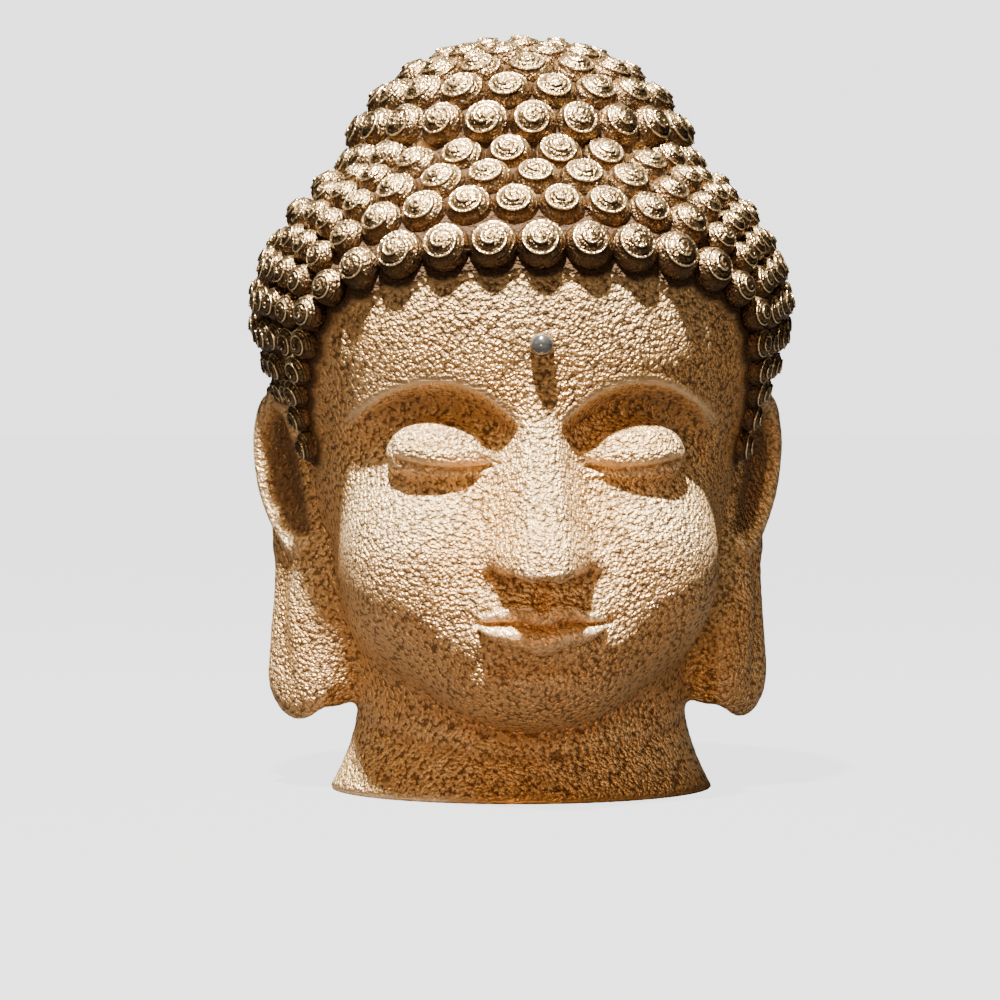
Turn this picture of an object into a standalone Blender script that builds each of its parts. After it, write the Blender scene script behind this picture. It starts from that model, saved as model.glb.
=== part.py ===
# Resin head of a buddha, cut flat below the neck, with a bead set in the brow.
# Metres, +Z up, face towards -Y. The origin is the middle of the flat underside.

import math

import bmesh
import bpy
import numpy as np
from mathutils import Matrix

for old_object in list(bpy.data.objects):
    bpy.data.objects.remove(old_object, do_unlink=True)

# Driving sizes of the casting.
BUST_HEIGHT = 0.420
HAIR_WIDTH = 0.306
HAIR_DEPTH = 0.297
TOPKNOT_WIDTH = 0.204
NECK_WIDTH = 0.183
NECK_DEPTH = 0.164
BASE_WIDTH = 0.214
EAR_LENGTH = 0.190
EAR_THICKNESS = 0.0165
CURL_PITCH = 0.0246
CURL_ROW_PITCH = 0.0203
CURL_RISE = 0.0125
CURL_OVERLAP = 0.0020
CURL_VALLEY = 0.0032

# Driving sizes of the bead and its seat.
BEAD_DIAMETER = 0.0128
BEAD_SUNK = 0.0042
BEAD_CLEARANCE = 0.0003

# The carving is laid out in parts, 420 of them to the height.
PART = BUST_HEIGHT / 420.0
RISE = CURL_RISE / PART
CURL_RADIUS = (CURL_PITCH + CURL_OVERLAP) / 2.0 / PART
VALLEY = CURL_VALLEY / PART
SKULL_X = HAIR_WIDTH / 2.0 / PART - RISE
SKULL_Y = HAIR_DEPTH / 2.0 / PART - RISE
SKULL_Z = 105.0
SKULL_HEIGHT = 262.0
SKULL_BACK = 8.0
KNOT_X = TOPKNOT_WIDTH / 2.0 / PART - RISE
KNOT_Z = 62.5
KNOT_HEIGHT = 420.0 - RISE - KNOT_Z
KNOT_BACK = 16.0
WIDER = SKULL_X / 139.0
DEEPER = SKULL_Y / 136.0
HAIRLINE = 300.0
HAIR_CROWN = 295.5
HAIR_FOOT = 205.0
KNOT_FOOT = 352.0
TEMPLE = 61.0
TEMPLE_LEAN = 13.0
TEMPLE_BEND = 252.0
TEMPLE_CURL = 0.72
TEMPLE_STEP = math.degrees(0.76 * CURL_ROW_PITCH / PART / SKULL_X)
FRONT_LEDGE = 0.2 * RISE
NEAREST_CURL = 0.76 * CURL_PITCH / PART
BROW = 207.5
NOSE_BASE = 125.0
MOUTH = 97.5
EYE_X = 48.0
EYE_Z = 186.0
BEAD_LEVEL = 244.7
EAR_TOP = 224.0
EAR_STRETCH = 178.0 / (EAR_LENGTH / PART)
NECK_BACK = 10.0
NAPE = 124.0
SPARE_NECK = 9.0

# Mesh fineness, in parts, and the faces that are kept.
CELL = 2.2
CASTING_FACES = 9500
FACE_WEIGHT = 0.1


def blend(first, second, reach):
    share = np.clip(0.5 + 0.5 * (second - first) / reach, 0.0, 1.0)
    return second + (first - second) * share - reach * share * (1.0 - share)


def carve(first, second, reach):
    return -blend(-first, second, reach)


def ramp(value):
    value = np.clip(value, 0.0, 1.0)
    return value * value * (3.0 - 2.0 * value)


def hump(value):
    return np.exp(-value * value)


def egg(x, y, z, centre, radii):
    ex = (x - centre[0]) / radii[0]
    ey = (y - centre[1]) / radii[1]
    ez = (z - centre[2]) / radii[2]
    near = np.sqrt(ex * ex + ey * ey + ez * ez)
    slope = np.sqrt((ex / radii[0]) ** 2 + (ey / radii[1]) ** 2 + (ez / radii[2]) ** 2)
    return near * (near - 1.0) / np.maximum(slope, 1e-9)


def rod(x, y, z, start, end):
    run = [end[axis] - start[axis] for axis in range(3)]
    length = run[0] ** 2 + run[1] ** 2 + run[2] ** 2
    share = ((x - start[0]) * run[0] + (y - start[1]) * run[1] + (z - start[2]) * run[2]) / length
    share = np.clip(share, 0.0, 1.0)
    off_x = x - start[0] - share * run[0]
    off_y = y - start[1] - share * run[1]
    off_z = z - start[2] - share * run[2]
    radius = start[3] + (end[3] - start[3]) * share
    return np.sqrt(off_x ** 2 + off_y ** 2 + off_z ** 2) - radius


def chain(x, y, z, points, reach):
    shape = rod(x, y, z, points[0], points[1])
    for start, end in zip(points[1:-1], points[2:]):
        shape = blend(shape, rod(x, y, z, start, end), reach)
    return shape


def scalp(x, y, z):
    skull = egg(x, y, z, (0.0, SKULL_BACK, SKULL_HEIGHT), (SKULL_X, SKULL_Y, SKULL_Z))
    knot = egg(x, y, z, (0.0, KNOT_BACK, KNOT_HEIGHT), (KNOT_X, KNOT_X, KNOT_Z))
    return blend(skull, knot, 10.0)


def cheeks_and_jaw(x, y, z):
    x = x / WIDER
    y = y / DEEPER
    shape = egg(x, y, z, (0.0, 12.0, 190.0), (117.0, 124.0, 122.0))
    shape = blend(shape, egg(x, y, z, (0.0, 46.0, 190.0), (108.0, 96.0, 105.0)), 22.0)
    shape = blend(shape, egg(x, y, z, (0.0, -20.0, 112.0), (99.0, 100.0, 73.0)), 26.0)
    shape = blend(shape, egg(x, y, z, (0.0, -88.0, 70.0), (46.0, 36.0, 28.0)), 30.0)
    shape = blend(shape, egg(x, y, z, (52.0, -72.0, 130.0), (44.0, 44.0, 48.0)), 28.0)
    return blend(shape, egg(x, y, z, (0.0, -100.0, 98.0), (44.0, 30.0, 30.0)), 24.0)


def skull_form(x, y, z):
    x = np.abs(x)
    return blend(scalp(x, y, z), cheeks_and_jaw(x, y, z), 22.0)


def brow_carving(x, z):
    reach = (x - 54.0) / 50.0
    edge = 225.0 - np.where(reach < 0.0, 31.0, 26.0) * np.abs(reach) ** 2.1
    below = edge - z
    width = ramp((x - 3.0) / 13.0) * ramp((106.0 - x) / 38.0)
    socket = 10.0 * ramp(below / 9.0) * hump(np.maximum(below - 12.0, 0.0) / 27.0) * width
    line = ramp((x - 8.0) / 8.0) * ramp((104.0 - x) / 20.0)
    rim = 1.8 * hump((below + 0.6) / 2.6) * line
    swell = 1.6 * ramp((2.0 - below) / 4.0) * hump(np.maximum(-below, 0.0) / 22.0) * line
    return socket - rim - swell


def eye_carving(x, z):
    share = (x - EYE_X) / 26.0
    slit = EYE_Z - 5.5 + 3.4 * share * share + 1.2 * share
    above = z - slit
    almond = ramp((1.06 - np.abs(share)) / 0.16)
    upper = 1.8 * ramp((above + 0.7) / 1.2) * hump(np.maximum(above - 2.0, 0.0) / 6.5)
    lower = 1.0 * ramp(-above / 2.5) * hump(np.maximum(-above - 3.0, 0.0) / 3.0)
    cut = 2.3 * hump((above + 0.9) / 1.4)
    return almond * (cut - upper - lower)


def nose(x, y, z, shape):
    run = np.clip((212.0 - z) / 78.0, -0.3, 1.1)
    ridge = -121.0 - 5.0 * run - 31.0 * np.clip(run, 0.0, 2.0) ** 1.25
    half = 7.0 + 4.0 * np.clip(run, 0.0, 1.0) ** 1.6 + 2.5 * np.clip(-run, 0.0, 1.0)
    behind = y - ridge
    flank = (x - half - 0.55 * np.maximum(behind, -2.0)) * 0.86
    wedge = -blend(-flank, behind * 0.93, 6.0)
    wedge = -blend(-wedge, z - NOSE_BASE - 2.0 - 0.20 * (y + 130.0), 7.0)
    wedge = -blend(-wedge, BROW + 18.5 - z, 12.0)
    wedge = np.maximum(wedge, y + 80.0)
    shape = blend(shape, wedge, 10.0)
    shape = blend(shape, egg(x, y, z, (0.0, -142.5, NOSE_BASE + 10.5), (13.5, 14.0, 12.0)), 7.0)
    shape = blend(shape, egg(x, y, z, (15.5, -127.5, NOSE_BASE + 9.5), (9.2, 14.5, 10.5)), 5.0)
    return carve(shape, egg(x, y, z, (9.0, -134.5, NOSE_BASE - 4.0), (4.4, 8.0, 5.5)), 3.0)


def mouth_carving(x, z):
    half = 36.0
    share = np.clip(x / half, 0.0, 1.0)
    parting = MOUTH - 1.3 * hump(x / 7.0) + 1.1 * hump((x - 14.0) / 8.0) + 2.2 * share ** 3
    above = z - parting
    upper_reach = (10.2 - 2.4 * hump(x / 4.5)) * (1.0 - share ** 2.0) ** 0.85
    lower_reach = 14.0 * (1.0 - share ** 2.3) ** 0.8
    rise = above / np.maximum(upper_reach, 0.8)
    fall = -above / np.maximum(lower_reach, 0.8)
    upper = np.sin(np.clip(rise, 0.0, 1.0) * math.pi / 2.0) ** 0.6 * ramp((1.28 - rise) / 0.30)
    lower = np.sin(np.clip(fall, 0.0, 1.0) * math.pi) ** 0.6
    lips = (4.4 * upper + 6.6 * lower) * ramp((half + 1.0 - x) / 6.0) * (1.0 - 0.4 * share * share)
    groove = 2.2 * hump(above / 1.5) * ramp((half + 4.0 - x) / 7.0)
    corner = 1.6 * hump((x - 39.5) / 6.5) * hump((z - MOUTH - 2.5) / 6.0)
    hollow = 3.6 * hump(x / 26.0) * hump((z - MOUTH + 22.0) / 6.5)
    channel = hump(x / 3.4) - 0.75 * hump((x - 7.5) / 3.2)
    channel = 1.6 * channel * ramp((z - 104.0) / 4.0) * ramp((124.0 - z) / 4.0)
    return groove + corner + hollow + channel - lips


def face(x, y, z, shape):
    x = x / WIDER
    y = y / DEEPER
    front = ramp((-y - 10.0) / 50.0)
    shape = shape + front * brow_carving(x, z)
    eyeball = egg(x, y, z, (EYE_X + 1.0, -91.0, EYE_Z + 1.0), (30.0, 22.5, 19.5))
    shape = blend(shape, eyeball, 6.0)
    shape = shape + front * eye_carving(x, z)
    shape = nose(x, y, z, shape)
    return shape + front * mouth_carving(x, z)


def neck(x, y, z):
    half = NECK_WIDTH / 2.0 / PART
    deep = NECK_DEPTH / 2.0 / PART
    flare = (BASE_WIDTH - NECK_WIDTH) / 2.0 / PART * np.clip((46.0 - z) / 46.0, 0.0, 1.2) ** 1.7
    around = np.sqrt((x / (half + flare)) ** 2 + ((y - NECK_BACK) / (deep + flare)) ** 2)
    shape = (around - 1.0) * (half + deep) / 2.0
    fold = 41.0 - 20.0 * np.cos(np.clip(x / half, 0.0, 1.0) * 1.4)
    shape = shape + 1.6 * hump((z - fold) / 3.0) * ramp(-y / 30.0)
    return np.maximum(shape, z - 130.0)


def ear(x, y, level, body):
    # The ear is drawn from 220 down to 42 and then stretched to its own length.
    z = 220.0 - (EAR_TOP - level) * EAR_STRETCH
    lean = 3.0 + 2.0 * ramp((z - 122.0) / 15.0) + 3.5 * ramp((z - 140.0) / 55.0) + ramp((135.0 - z) / 60.0)
    off_x = x - (119.0 + lean) * WIDER
    off_y = y - (12.0 + 7.0 * ramp((z - 120.0) / 85.0)) * DEEPER
    across = off_x * 0.62 + off_y * 0.785
    out = off_x * 0.785 - off_y * 0.62
    flat = 47.0 / (EAR_THICKNESS / PART)
    plate = [(0, 192, 0, 24), (-2, 150, 0, 21), (-2, 120, 0, 21.5), (0, 70.5, 0, 24.5)]
    shape = chain(across, z, out * flat, plate, 3.0) / 2.0
    rim = [(-16, 196, 6, 5), (-5, 211, 7.5, 5.5), (8, 210, 8, 5.5), (14.5, 197, 8, 5), (15.5, 181, 8, 4.8)]
    rim += [(14, 166, 8, 4.6), (9, 153, 7.5, 4.5), (1, 142, 7, 4.5), (-8, 135, 6.5, 4.5), (-14, 138, 6, 4)]
    shape = blend(shape, chain(across, z, out, rim, 3.0), 3.5)
    channel = [(-2, 199, 15, 7), (-3, 180, 16, 11), (-6, 160, 16, 11.5), (-14, 147, 14, 7)]
    shape = carve(shape, chain(across, z, out, channel, 4.0), 3.0)
    shape = carve(shape, egg(across, out, z, (-1, 17, 92), (11, 10, 34)), 8.0)
    root = egg(x, y, z, (104.0 * WIDER, 4.0, 101.0), (25.0, 14.0, 48.0))
    return blend(blend(body, root, 10.0), shape, 7.0)


def casting_form(x, y, z):
    x = np.abs(x)
    shape = face(x, y, z, skull_form(x, y, z))
    shape = blend(shape, neck(x, y, z), 9.0)
    sides = x > 0.55 * SKULL_X
    shape[sides] = ear(x[sides], y[sides], z[sides], shape[sides])
    return np.maximum(shape, -SPARE_NECK - z)


def skull_radius(angle, height, back):
    level = height + np.zeros_like(angle)
    inner = np.zeros_like(angle)
    outer = np.full_like(angle, SKULL_X + SKULL_Y)
    for _ in range(34):
        middle = (inner + outer) / 2.0
        inside = skull_form(middle * np.sin(angle), back - middle * np.cos(angle), level) < 0.0
        inner = np.where(inside, middle, inner)
        outer = np.where(inside, outer, middle)
    return inner


def walked_heights(stop, steps=240):
    side = np.array([math.pi / 2.0])
    heights = np.linspace(HAIRLINE, stop, steps + 1)
    widths = [skull_radius(side, height, SKULL_BACK)[0] for height in heights]
    lengths = np.concatenate([[0.0], np.cumsum(np.hypot(np.diff(heights), np.diff(widths)))])
    rows = round(lengths[-1] * PART / CURL_ROW_PITCH)
    marks = np.arange(1, rows + 1) * lengths[-1] / rows
    return np.interp(marks, lengths, heights)


def curl_size(angle, height):
    # The curls shrink towards the temples.
    small = ramp((angle - 34.0) / 22.0) * ramp((108.0 - angle) / 12.0) * ramp((348.0 - height) / 22.0)
    return 1.0 - (1.0 - TEMPLE_CURL) * small


def walk_row(angle, height, half, from_back=False):
    # Seats at even steps along one row, each step as long as the curls there are wide.
    back = SKULL_BACK + (KNOT_BACK - SKULL_BACK) * ramp((height - 335.0) / 30.0)
    lean = np.radians(angle)
    reach = skull_radius(lean, height, back)
    path = np.stack([reach * np.sin(lean), back - reach * np.cos(lean), height], 1)
    size = curl_size(angle, height)
    steps = np.linalg.norm(np.diff(path, axis=0), axis=1) * 2.0 / (size[1:] + size[:-1])
    walked = np.concatenate([[0.0], np.cumsum(steps)]) * PART / CURL_PITCH
    count = max(1, round(walked[-1] - half))
    marks = (np.arange(count + 1) + half) * walked[-1] / (count + half)
    if from_back:
        marks = walked[-1] - marks
    return [[float(np.interp(mark, walked, line)) for line in (*path.T, size, angle)] for mark in marks]


def hairline_arch(row, crown):
    # A row follows the hairline: level over the brow, then down in front of the ear.
    side = TEMPLE + TEMPLE_STEP * row
    turn = np.linspace(0.0, math.pi / 2.0, 361)
    angle = side * np.sin(turn) ** (2.0 / 3.0)
    height = HAIR_FOOT + (crown - HAIR_FOOT) * np.clip(np.cos(turn), 0.0, 1.0) ** (2.0 / 3.0)
    tail = np.linspace(HAIR_FOOT, HAIR_FOOT - 13.0, 20)[1:]
    angle = np.concatenate([angle, np.full(len(tail), side)])
    height = np.concatenate([height, tail])
    return angle + TEMPLE_LEAN * ramp((TEMPLE_BEND - height) / 50.0), height


def add_seat(found, seat, ledge=0.0):
    x, y, z, size = seat[:4]
    for other in found:
        apart = NEAREST_CURL * (size + other[3]) / 2.0
        if math.dist((x, y, z), other[:3]) < apart:
            return
        if x > 1.0 and math.dist((-x, y, z), other[:3]) < apart:
            return
    found.append((x, y, z, size, ledge))


def curl_seats():
    upper = walked_heights(KNOT_HEIGHT + KNOT_Z)[:-1]
    crowns = [HAIR_CROWN] + [height for height in upper if height < KNOT_FOOT]
    whole = len(crowns)
    crowns += [KNOT_FOOT, KNOT_FOOT + 5.0]
    found = []
    for row, crown in enumerate(crowns):
        angle, height = hairline_arch(row, crown)
        kept = height < (341.0 if row >= whole else 400.0)
        for seat in walk_row(angle[kept], height[kept], 0.5 * (row % 2)):
            beside_ear = row > 0 and seat[4] > 70.0 and seat[2] < 193.0 + 0.3 * seat[4]
            if not beside_ear and (row == 0 or seat[2] > 198.0):
                add_seat(found, seat, 0.0 if row else FRONT_LEDGE)
    levels = [(index + 1, height) for index, height in enumerate(upper)] + [(0, HAIRLINE)]
    levels += [(-index - 1, height) for index, height in enumerate(walked_heights(NAPE))]
    for row, height in sorted(levels, reverse=True):
        start = 0.0
        if height < KNOT_FOOT:
            start = 112.0 if height < 226.0 else 40.0
            if 226.0 <= height < 262.0:
                start = TEMPLE + TEMPLE_STEP * len(crowns)
        angle = np.linspace(start, 180.0, 721)
        for seat in walk_row(angle, np.full(721, height), 0.5 * (row % 2), height < KNOT_FOOT):
            add_seat(found, seat)
    add_seat(found, (0.0, KNOT_BACK, KNOT_HEIGHT + KNOT_Z, 1.0))
    return found


def mirrored(seats):
    return seats + [(-seat[0],) + seat[1:] for seat in seats if seat[0] > 0.5 * CURL_RADIUS]


def outward(point):
    step = 0.5
    x, y, z = (np.array([value]) for value in point)
    slope_x = skull_form(x + step, y, z) - skull_form(x - step, y, z)
    slope_y = skull_form(x, y + step, z) - skull_form(x, y - step, z)
    slope_z = skull_form(x, y, z + step) - skull_form(x, y, z - step)
    slope = np.array([slope_x[0], slope_y[0], slope_z[0]])
    return slope / np.linalg.norm(slope)


def add_curls(values, low, cell):
    # Each curl is a dome, and its round foot goes straight down into the scalp.
    reach = int(math.ceil((CURL_RADIUS + RISE) / cell))
    for x, y, z, size, ledge in mirrored(curl_seats()):
        radius, rise = CURL_RADIUS * size, RISE * size
        normal = outward((x, y, z))
        stand = (RISE - rise) * ramp((z - 244.0) / 20.0) + ledge
        seat = np.array((x, y, z)) + normal * stand
        middle = np.round((seat - low) / cell).astype(int)
        first = np.maximum(middle - reach, 0)
        last = np.minimum(middle + reach + 1, values.shape)
        grid = np.meshgrid(*[np.arange(first[a], last[a]) for a in range(3)], indexing="ij")
        offset = [low[a] + grid[a] * cell - seat[a] for a in range(3)]
        height = sum(offset[a] * normal[a] for a in range(3))
        spread = np.sqrt(np.maximum(sum(part ** 2 for part in offset) - height ** 2, 0.0))
        near = np.sqrt((spread / radius) ** 2 + (np.maximum(height, 0.0) / rise) ** 2)
        dome = np.maximum((near - 1.0) * rise, -RISE - height)
        block = values[first[0]:last[0], first[1]:last[1], first[2]:last[2]]
        block[...] = blend(block, dome, VALLEY)


def sampled(form, low, shape, cell, block=8):
    centres = [low[a] + (np.arange(shape[a]) + 0.5) * cell * block for a in range(3)]
    grid = np.meshgrid(*centres, indexing="ij")
    coarse = form(*[part.ravel() for part in grid]).reshape(shape)
    values = np.where(coarse > 0.0, 1e3, -1e3)
    for axis in range(3):
        values = values.repeat(block, axis)
    values = np.pad(values, ((0, 1), (0, 1), (0, 1)), mode="edge")
    steps = np.meshgrid(*[np.arange(block + 1)] * 3, indexing="ij")
    steps = [part.ravel() for part in steps]
    near = np.argwhere(np.abs(coarse) < 2.4 * cell * block)
    for start in range(0, len(near), 600):
        some = near[start:start + 600]
        nodes = [(some[:, a, None] * block + steps[a]).ravel() for a in range(3)]
        values[tuple(nodes)] = form(*[low[a] + nodes[a] * cell for a in range(3)])
    return values


def crossed_corners(inside, filled):
    # Squares of nodes of which only two opposite corners are inside.
    for axis, other in ((0, 1), (0, 2), (1, 2)):
        flat = np.moveaxis(inside, (axis, other), (0, 1))
        marks = np.moveaxis(filled, (axis, other), (0, 1))
        near, right = flat[:-1, :-1], flat[1:, :-1]
        left, far = flat[:-1, 1:], flat[1:, 1:]
        crossed = (near == far) & (left == right) & (near != left)
        for block in (marks[:-1, :-1], marks[1:, :-1], marks[:-1, 1:], marks[1:, 1:]):
            block |= crossed


def crossed_cubes(inside, filled):
    # Cubes of nodes with two opposite corners alone inside, or alone outside.
    half = (slice(0, -1), slice(1, None))
    corners = [(half[a], half[b], half[c]) for a in (0, 1) for b in (0, 1) for c in (0, 1)]
    total = sum(inside[corner].astype(np.int8) for corner in corners)
    for here, there in zip(corners[:4], corners[:3:-1]):
        alone = inside[here] & inside[there] & (total == 2)
        holes = ~inside[here] & ~inside[there] & (total == 6)
        filled[here] |= holes
        filled[there] |= holes
        filled[here[0], there[1], here[2]] |= alone
        filled[here[0], here[1], there[2]] |= alone
        filled[here[0], there[1], there[2]] |= alone


def without_pinches(values):
    # The net of cells is a clean surface once no square or cube is crossed.
    for _ in range(12):
        inside = values < 0.0
        filled = np.zeros(values.shape, bool)
        crossed_corners(inside, filled)
        crossed_cubes(inside, filled)
        filled &= ~inside
        if not filled.any():
            return
        values[filled] = -1e-3


def net_points(values, low, cell):
    inside = values < 0.0
    shape = np.array(values.shape) - 1
    corners = [(a, b, c) for a in (0, 1) for b in (0, 1) for c in (0, 1)]
    count = np.zeros(shape, np.int8)
    for a, b, c in corners:
        count += inside[a:shape[0] + a, b:shape[1] + b, c:shape[2] + c]
    mixed = (count > 0) & (count < 8)
    cells = np.argwhere(mixed)
    names = np.full(shape, -1, np.int64)
    names[mixed] = np.arange(len(cells))
    at = np.stack([values[tuple((cells + corner).T)] for corner in corners], 1)
    total = np.zeros((len(cells), 3))
    hits = np.zeros(len(cells))
    for i, start in enumerate(corners):
        for j, end in enumerate(corners):
            if j <= i or sum(abs(start[k] - end[k]) for k in range(3)) != 1:
                continue
            crossed = (at[:, i] < 0.0) != (at[:, j] < 0.0)
            gap = np.where(crossed, at[:, i] - at[:, j], 1.0)
            share = np.where(crossed, at[:, i] / gap, 0.0)[:, None]
            place = np.array(start) + share * (np.array(end) - np.array(start))
            total += np.where(crossed[:, None], place, 0.0)
            hits += crossed
    return low + (cells + total / hits[:, None]) * cell, names, inside


def net_faces(names, inside):
    faces = []
    for axis in range(3):
        side, other = (axis + 1) % 3, (axis + 2) % 3
        before = np.take(inside, range(inside.shape[axis] - 1), axis)
        after = np.take(inside, range(1, inside.shape[axis]), axis)
        edges = np.argwhere(before != after)
        kept = (edges[:, side] > 0) & (edges[:, other] > 0)
        kept &= edges[:, side] < inside.shape[side] - 1
        kept &= edges[:, other] < inside.shape[other] - 1
        edges = edges[kept]
        leaving = before[tuple(edges.T)]
        back_side = np.eye(3, dtype=int)[side]
        back_other = np.eye(3, dtype=int)[other]
        ring = [edges - back_side - back_other, edges - back_other, edges, edges - back_side]
        quads = np.stack([names[tuple(place.T)] for place in ring], 1)
        quads[~leaving] = quads[~leaving][:, ::-1]
        faces.append(quads)
    return np.concatenate(faces)


def net_mesh(name, form, low, high, cell, extra):
    low = np.array(low)
    shape = np.ceil((np.array(high) - low) / (cell * 8)).astype(int)
    shape[0] += shape[0] % 2
    low[0] = -shape[0] * cell * 4
    values = sampled(form, low, shape, cell)
    extra(values, low, cell)
    without_pinches(values)
    points, names, inside = net_points(values, low, cell)
    faces = net_faces(names, inside)
    mesh = bpy.data.meshes.new(name)
    mesh.from_pydata((points * PART).tolist(), [], faces.tolist())
    return mesh


def link(name, mesh, material):
    made = bpy.data.objects.new(name, mesh)
    bpy.context.scene.collection.objects.link(made)
    mesh.materials.clear()
    mesh.materials.append(material)
    return made


def apply_modifiers(made):
    graph = bpy.context.evaluated_depsgraph_get()
    mesh = bpy.data.meshes.new_from_object(made.evaluated_get(graph))
    made.modifiers.clear()
    old = made.data
    made.data = mesh
    bpy.data.meshes.remove(old)


def keep_largest(body):
    left = set(body.verts)
    largest = set()
    while left:
        ends = [left.pop()]
        group = set(ends)
        while ends:
            vert = ends.pop()
            around = {edge.other_vert(vert) for edge in vert.link_edges} & left
            left -= around
            group |= around
            ends.extend(around)
        if len(group) > len(largest):
            largest = group
    spare = [vert for vert in body.verts if vert not in largest]
    bmesh.ops.delete(body, geom=spare, context="VERTS")


def cut_flat(mesh):
    body = bmesh.new()
    body.from_mesh(mesh)
    keep_largest(body)
    everything = body.verts[:] + body.edges[:] + body.faces[:]
    plane = {"plane_co": (0.0, 0.0, 0.0), "plane_no": (0.0, 0.0, -1.0)}
    bmesh.ops.bisect_plane(body, geom=everything, dist=1e-6, clear_outer=True, **plane)
    bare = [edge for edge in body.edges if not edge.link_faces]
    bmesh.ops.delete(body, geom=bare, context="EDGES")
    rim = [edge for edge in body.edges if edge.is_boundary]
    for vert in {vert for edge in rim for vert in edge.verts}:
        vert.co.z = 0.0
    bmesh.ops.remove_doubles(body, verts=body.verts[:], dist=1e-5)
    rim = [edge for edge in body.edges if edge.is_boundary]
    bmesh.ops.contextual_create(body, geom=rim)
    bmesh.ops.triangulate(body, faces=body.faces[:])
    bmesh.ops.recalc_face_normals(body, faces=body.faces[:])
    body.to_mesh(mesh)
    body.free()


def ball(name, centre, radius, across, material):
    body = bmesh.new()
    forward = Matrix.Rotation(math.pi / 2.0, 3, "X")
    bmesh.ops.create_uvsphere(body, u_segments=across, v_segments=across // 2, radius=radius)
    bmesh.ops.rotate(body, verts=body.verts[:], matrix=forward, cent=(0.0, 0.0, 0.0))
    bmesh.ops.translate(body, verts=body.verts[:], vec=centre)
    mesh = bpy.data.meshes.new(name)
    body.to_mesh(mesh)
    body.free()
    return link(name, mesh, material)


def bead_centre():
    near, far = -200.0, 0.0
    for _ in range(40):
        middle = (near + far) / 2.0
        place = [np.array([value]) for value in (0.0, middle, BEAD_LEVEL)]
        if casting_form(*place)[0] > 0.0:
            near = middle
        else:
            far = middle
    return (0.0, far * PART - BEAD_DIAMETER / 2.0 + BEAD_SUNK, BEAD_LEVEL * PART)


def surface(name, colour, roughness, metallic):
    material = bpy.data.materials.new(name)
    material.use_nodes = True
    shader = material.node_tree.nodes["Principled BSDF"]
    shader.inputs["Base Color"].default_value = (*colour, 1.0)
    shader.inputs["Roughness"].default_value = roughness
    shader.inputs["Metallic"].default_value = metallic
    material.diffuse_color = (*colour, 1.0)
    return material


def face_points(mesh):
    wide, back = 1.7 * EYE_X * WIDER * PART, -70.0 * DEEPER * PART
    low, high = 60.0 * PART, (BROW + 28.0) * PART
    points = [vert.index for vert in mesh.vertices
              if vert.co.y < back and abs(vert.co.x) < wide and low < vert.co.z < high]
    return points


def head_casting(material):
    reach_x = HAIR_WIDTH / 2.0 / PART + 18.0
    reach_y = HAIR_DEPTH / 2.0 / PART + 31.0
    low = (-reach_x, -reach_y, -16.0)
    high = (reach_x, reach_y, 436.0)
    mesh = net_mesh("head_casting", casting_form, low, high, CELL, add_curls)
    made = link("head_casting", mesh, material)
    fewer = made.modifiers.new("fewer_faces", "DECIMATE")
    fewer.ratio = CASTING_FACES / 2.0 / len(mesh.polygons)
    spared = made.vertex_groups.new(name="face")
    spared.add(face_points(mesh), FACE_WEIGHT, "REPLACE")
    fewer.vertex_group = spared.name
    fewer.invert_vertex_group = True
    fewer.vertex_group_factor = FACE_WEIGHT
    apply_modifiers(made)
    cut_flat(made.data)
    return made


def seat_bead(casting, centre, material):
    seat = ball("bead_seat_cutter", centre, BEAD_DIAMETER / 2.0 + BEAD_CLEARANCE, 16, material)
    seat.hide_render = True
    seat.display_type = "WIRE"
    cut = casting.modifiers.new("bead_seat", "BOOLEAN")
    cut.operation = "DIFFERENCE"
    cut.solver = "EXACT"
    cut.object = seat
    apply_modifiers(casting)
    bpy.data.objects.remove(seat, do_unlink=True)


def build():
    gilt = surface("gilded resin", (0.60, 0.36, 0.15), 0.42, 0.9)
    grey = surface("grey bead", (0.30, 0.31, 0.32), 0.12, 0.6)
    casting = head_casting(gilt)
    centre = bead_centre()
    seat_bead(casting, centre, gilt)
    ball("forehead_bead", centre, BEAD_DIAMETER / 2.0, 16, grey)


build()
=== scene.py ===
import math
import bmesh
import bpy
import numpy as np
from mathutils import Matrix, Vector


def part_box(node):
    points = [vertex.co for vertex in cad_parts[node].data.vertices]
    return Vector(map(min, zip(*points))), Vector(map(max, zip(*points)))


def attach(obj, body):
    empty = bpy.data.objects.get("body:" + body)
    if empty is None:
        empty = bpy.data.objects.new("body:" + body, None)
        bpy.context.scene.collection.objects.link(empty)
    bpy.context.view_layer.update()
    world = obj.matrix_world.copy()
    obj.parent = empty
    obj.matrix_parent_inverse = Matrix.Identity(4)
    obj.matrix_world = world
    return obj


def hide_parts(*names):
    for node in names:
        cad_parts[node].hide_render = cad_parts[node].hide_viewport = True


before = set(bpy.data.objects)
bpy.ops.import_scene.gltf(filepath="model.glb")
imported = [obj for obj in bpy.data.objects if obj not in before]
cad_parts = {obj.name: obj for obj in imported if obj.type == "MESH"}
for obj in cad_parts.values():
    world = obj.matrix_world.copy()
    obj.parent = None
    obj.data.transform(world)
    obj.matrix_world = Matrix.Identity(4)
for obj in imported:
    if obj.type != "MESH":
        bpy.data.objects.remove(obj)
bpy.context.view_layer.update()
print("frame loaded")


# camera first: it stands a little to the viewer's left of the head's own middle
shot = {"distance": 2.05, "height": 0.21, "turn": -4.5, "lens": 132.5, "shift": (-0.0225, -0.0890)}

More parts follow.
